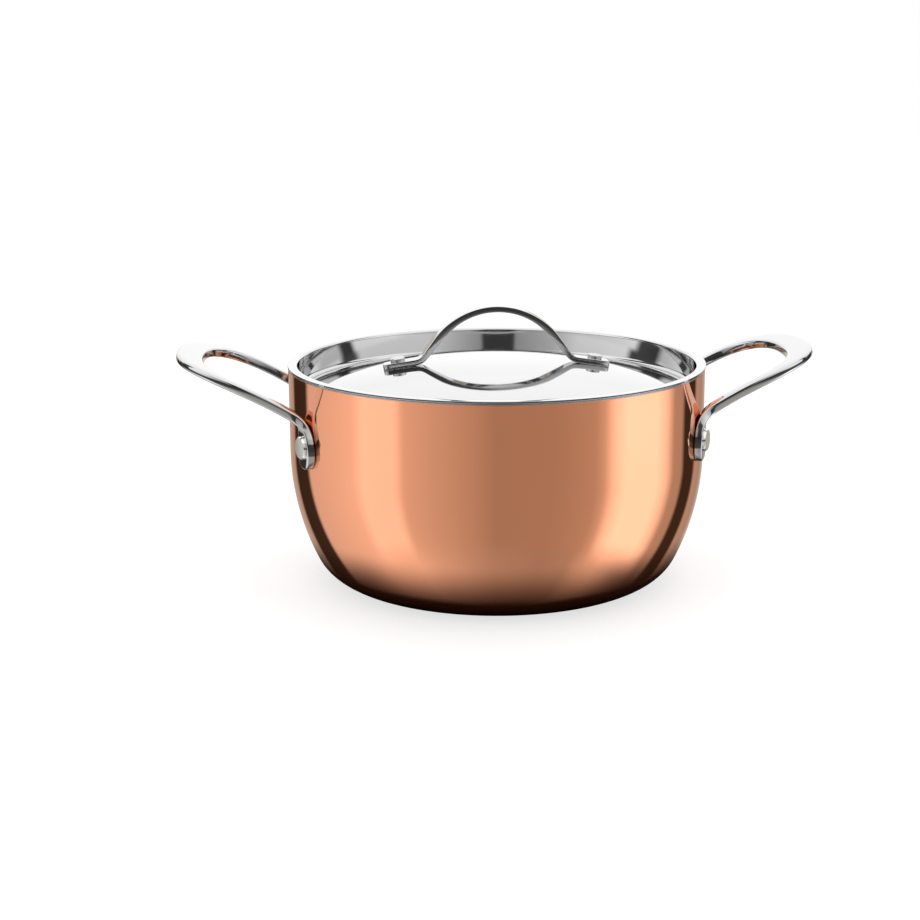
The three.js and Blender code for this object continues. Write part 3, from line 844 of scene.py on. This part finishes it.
strap_sides = STRAP_SQUARENESS, STRAP_SQUARENESS, 0
strap_pads = STRAP_SQUARENESS, 0, (STRAP_DRAFT, STRAP_DRAFT), DOME_RADIUS
strap_shape = bar(strap_path(), *strap_sides, *strap_pads)
pieces["lid_handle"] = mesh_piece("lid_strap_handle", *strap_shape, handle_finish)

lid_rivet_profile = rivet_profile(LID_RIVET, -LID_THICKNESS - PIECE_GAP, STRAP_FOOT + 2 * PIECE_GAP)
lid_rivet = turned(lid_rivet_profile, LID_RIVET_SIDES)
for node, side in (("lid_left_rivet", -1), ("lid_right_rivet", 1)):
    out = (side * math.sin(FOOT_SLOPE), 0, math.cos(FOOT_SLOPE))
    across = (math.cos(FOOT_SLOPE), 0, -side * math.sin(FOOT_SLOPE))
    foot = (side * FOOT_SPREAD, 0, DOME_CENTRE + DOME_RADIUS * math.cos(FOOT_SLOPE))
    vertices = placed(lid_rivet[0], (across, (0, 1, 0), out), foot)
    name = node.replace("rivet", "strap_rivet")
    pieces[node] = mesh_piece(name, vertices, *lid_rivet[1:], lid_rivet_finish)

# Every piece rides on its node's body and stands for the node, whose own mesh is hidden
for node, piece in pieces.items():
    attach(piece, "lid" if node.startswith("lid_") else "pot")
    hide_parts(node)


# The studio, its places in metres and the camera's lens in pixels of the picture
TURN = math.radians(5.3)
CAMERA_DISTANCE = 0.88
CAMERA_ELEVATION = math.radians(13.56)
AIM_HEIGHT = 0.05755
IMAGE = 920
FOCAL_PIXELS = 1747.064
PRINCIPAL_X = 496.7
SENSOR = 36
LAMP_SIZE = (1.3, 1.0)
LAMP_PLACE = (0.1, 0.15, 1.5)
LAMP_POWER = 9

# The floor, a disc in millimetres just under the pot, and the painted shadow on it in metres from the
# middle: a dark patch that the metal sees in place of the shade under the pot's flare
FLOOR_RADIUS = 4000
FLOOR_DROP = 0.1
FLOOR_SIDES = 96
FLOOR_GREY = 0.3
FLOOR_GLOW = 0.72
PAINTED_SHADOW_FADES = (0.088, 0.125)
PAINTED_SHADOW_COLOR = (0.03, 0.02, 0.015, 1)

# Brightness round the studio, by degrees to the right of straight behind the pot: towards the floor,
# below the table's height, above it, and higher up
FLOOR_STUDIO = (
    (-180, 0.49),
    (-165, 0.58),
    (-140, 0.78),
    (-125, 0.97),
    (-105, 1.02),
    (-95, 0.98),
    (-77, 0.64),
    (-63, 0.42),
    (-50, 0.15),
    (50, 0.1),
    (57, 0.14),
    (70, 0.3),
    (83, 0.53),
    (95, 0.78),
    (105, 0.88),
    (115, 0.78),
    (122, 0.66),
    (130, 0.5),
    (150, 0.44),
    (180, 0.49),
)
LOWER_STUDIO = (
    (-180, 0.44),
    (-165, 0.57),
    (-138, 0.76),
    (-129, 0.85),
    (-123, 1.3),
    (-103, 1.35),
    (-95, 1.05),
    (-80, 0.95),
    (-56, 0.8),
    (-52, 0.05),
    (-34, 0.04),
    (-30, 0.48),
    (-12, 0.56),
    (0, 0.8),
    (12, 0.6),
    (28, 0.42),
    (38, 0.52),
    (42, 0.05),
    (55, 0.05),
    (59, 0.5),
    (67, 0.53),
    (75, 1.3),
    (83, 1.7),
    (105, 1.75),
    (113, 1.4),
    (120, 0.74),
    (126, 0.56),
    (150, 0.46),
    (168, 0.45),
    (180, 0.44),
)
UPPER_STUDIO = (
    (-180, 0.05),
    (-170, 0.05),
    (-168, 0.36),
    (-140, 0.72),
    (-124, 0.96),
    (-83, 1.28),
    (-78, 0.1),
    (-62, 0.06),
    (-56, 0.8),
    (-30, 1.15),
    (0, 1.27),
    (33, 1.2),
    (45, 0.8),
    (64, 0.8),
    (68, 0.06),
    (76, 0.06),
    (80, 1.2),
    (112, 1.3),
    (135, 0.8),
    (168, 0.4),
    (170, 0.05),
    (180, 0.05),
)
HIGH_STUDIO = (
    (-180, 0.07),
    (-169, 0.07),
    (-167, 0.5),
    (-142, 0.75),
    (-125, 1.2),
    (-88, 1.35),
    (-83, 0.1),
    (-62, 0.08),
    (-56, 1.2),
    (0, 1.3),
    (62, 1.2),
    (67, 0.08),
    (77, 0.1),
    (82, 1.1),
    (134, 1.1),
    (160, 0.65),
    (169, 0.5),
    (171, 0.07),
    (180, 0.07),
)
BRIGHTEST = 2
CEILING = 0.62

# Heights at which one ramp gives way to the next, as the sine of a ray's elevation
FLOOR_TO_LOWER = (-0.74, -0.565)
LOWER_TO_UPPER = (0.0, 0.05)
UPPER_TO_HIGH = (0.34, 0.42)
HIGH_TO_CEILING = (0.68, 0.8)

# The dark at table height: the heights where it starts and ends, where it stops short of the back, its
# strength and its grey
DARK_STARTS = (-0.21, -0.05)
DARK_ENDS = (0.1, 0.17)
BACK_STARTS = (0.72, 0.8)
DARK_STRENGTH = 0.95
DARK_GREY = 0.015

# The lower ramp's colours: its bright fields are cooler than its dark ones, and its back is warm, out to
# some degrees to each side
COOLING = np.array([0, 0.05, 0.15])
BACK_TINT = np.array([1, 0.9, 0.8])
BACK_FADES = (35, 60)


def studio_camera():
    data = bpy.data.cameras.new("camera")
    data.sensor_width = SENSOR
    data.lens = SENSOR * FOCAL_PIXELS / IMAGE
    data.shift_x = (IMAGE / 2 - PRINCIPAL_X) / IMAGE
    camera = bpy.data.objects.new("camera", data)
    flat = CAMERA_DISTANCE * math.cos(CAMERA_ELEVATION)
    height = AIM_HEIGHT + CAMERA_DISTANCE * math.sin(CAMERA_ELEVATION)
    camera.location = (-flat * math.sin(TURN), -flat * math.cos(TURN), height)
    camera.rotation_euler = (QUARTER - CAMERA_ELEVATION, 0, -TURN)
    bpy.context.scene.collection.objects.link(camera)
    bpy.context.scene.camera = camera


def studio_world():
    """Soft panels and dark gaps all round, dark at table height, and an even ceiling. A ray's bearing
    picks the brightness from four ramps, and its height blends them; the camera sees white."""
    world = bpy.data.worlds.new("studio")
    bpy.context.scene.world = world
    nodes = Nodes(world)
    direction = nodes.add("ShaderNodeTexCoord")["Generated"]
    split = nodes.add("ShaderNodeSeparateXYZ", inputs={"Vector": direction})
    bearing = (split["X"].math("ARCTAN2", split["Y"]) - TURN) / (2 * math.pi) + 0.5
    bearing = bearing.math("FRACT")

    def ramp(rows, tinted=False):
        stops = []
        for degrees, brightness in rows:
            color = np.full(3, float(brightness))
            if tinted:
                color *= brightness**COOLING
                color *= mixed(BACK_TINT, np.ones(3), climbing(abs(degrees), *BACK_FADES))
            stops.append(((degrees + 180) / 360, tuple(color / BRIGHTEST)))
        return nodes.add("ShaderNodeValToRGB", {"stops": stops}, {"Fac": bearing})["Color"]

    def blended(factor, first, second):
        inputs = {"Factor": factor, "A": first, "B": second}
        return nodes.add("ShaderNodeMix", {"data_type": "RGBA"}, inputs)["Result"]

    height = split["Z"]
    around = blended(height.between(*LOWER_TO_UPPER), ramp(LOWER_STUDIO, True), ramp(UPPER_STUDIO))
    around = blended(height.between(*FLOOR_TO_LOWER), ramp(FLOOR_STUDIO), around)
    around = blended(height.between(*UPPER_TO_HIGH), around, ramp(HIGH_STUDIO))
    near_table = height.between(*DARK_STARTS) * (1 - height.between(*DARK_ENDS))
    sideways = 1 - split["Y"].between(*BACK_STARTS)
    around = blended(near_table * sideways * DARK_STRENGTH, around, grey(DARK_GREY))
    ceiling = blended(height.between(*HIGH_TO_CEILING), around, grey(CEILING))
    lit = nodes.add("ShaderNodeBackground", inputs={"Color": ceiling, "Strength": BRIGHTEST})["Background"]
    white = nodes.add("ShaderNodeBackground", inputs={"Color": grey(1), "Strength": 1.0})["Background"]
    seen = nodes.add("ShaderNodeLightPath")["Is Camera Ray"]
    mix = nodes.add("ShaderNodeMixShader", inputs={0: seen, 1: lit, 2: white})["Shader"]
    nodes.add("ShaderNodeOutputWorld", inputs={"Surface": mix})


def floor_finish():
    """A pale floor that glows a little for the camera. The metal sees the studio through it, but for a
    painted shadow: a dark patch that stands for the shade the pot keeps under its own flare, with a smooth
    fall from the pot's foot outwards."""
    material = bpy.data.materials.new("pale_floor")
    nodes = Nodes(material)
    path = nodes.add("ShaderNodeLightPath")
    place = nodes.add("ShaderNodeTexCoord")["Object"]
    distance = nodes.add("ShaderNodeVectorMath", {"operation": "LENGTH"}, {0: place})["Value"]
    diffuse = nodes.add("ShaderNodeBsdfDiffuse", inputs={"Color": grey(FLOOR_GREY)})["BSDF"]
    glow = nodes.add("ShaderNodeEmission", inputs={"Strength": path["Is Camera Ray"] * FLOOR_GLOW})
    pale = nodes.add("ShaderNodeAddShader", inputs={0: diffuse, 1: glow["Emission"]})["Shader"]
    through = nodes.add("ShaderNodeBsdfTransparent")["BSDF"]
    # Painted shadow: a dark patch, seen only in reflections, in place of the shade under the pot's flare
    painted_shadow = nodes.add("ShaderNodeBsdfDiffuse", inputs={"Color": PAINTED_SHADOW_COLOR})["BSDF"]
    outside = distance.between(*PAINTED_SHADOW_FADES)
    mirrored = nodes.add("ShaderNodeMixShader", inputs={0: outside, 1: painted_shadow, 2: through})["Shader"]
    layers = {0: path["Is Glossy Ray"], 1: pale, 2: mirrored}
    surface = nodes.add("ShaderNodeMixShader", inputs=layers)["Shader"]
    nodes.add("ShaderNodeOutputMaterial", inputs={"Surface": surface})
    return material


def studio_floor():
    """A wide disc: points on a circle, joined to its middle."""
    turn = np.arange(FLOOR_SIDES) * 2 * math.pi / FLOOR_SIDES
    level = np.full(FLOOR_SIDES, -FLOOR_DROP)
    vertices = np.column_stack([FLOOR_RADIUS * np.cos(turn), FLOOR_RADIUS * np.sin(turn), level])
    vertices = np.concatenate([vertices, [[0, 0, -FLOOR_DROP]]])
    rim = np.arange(FLOOR_SIDES)
    triangles = np.column_stack([np.full(FLOOR_SIDES, FLOOR_SIDES), rim, (rim + 1) % FLOOR_SIDES])
    floor = mesh_piece("floor", vertices, np.zeros((0, 4), int), triangles, floor_finish())


def studio_lamp():
    data = bpy.data.lights.new("overhead_softbox", "AREA")
    data.shape = "RECTANGLE"
    data.size, data.size_y = LAMP_SIZE
    data.energy = LAMP_POWER
    lamp = bpy.data.objects.new("overhead_softbox", data)
    lamp.location = LAMP_PLACE
    lamp.visible_glossy = False
    bpy.context.scene.collection.objects.link(lamp)


studio_camera()
studio_world()
studio_floor()
studio_lamp()
bpy.context.scene.view_settings.view_transform = "Standard"
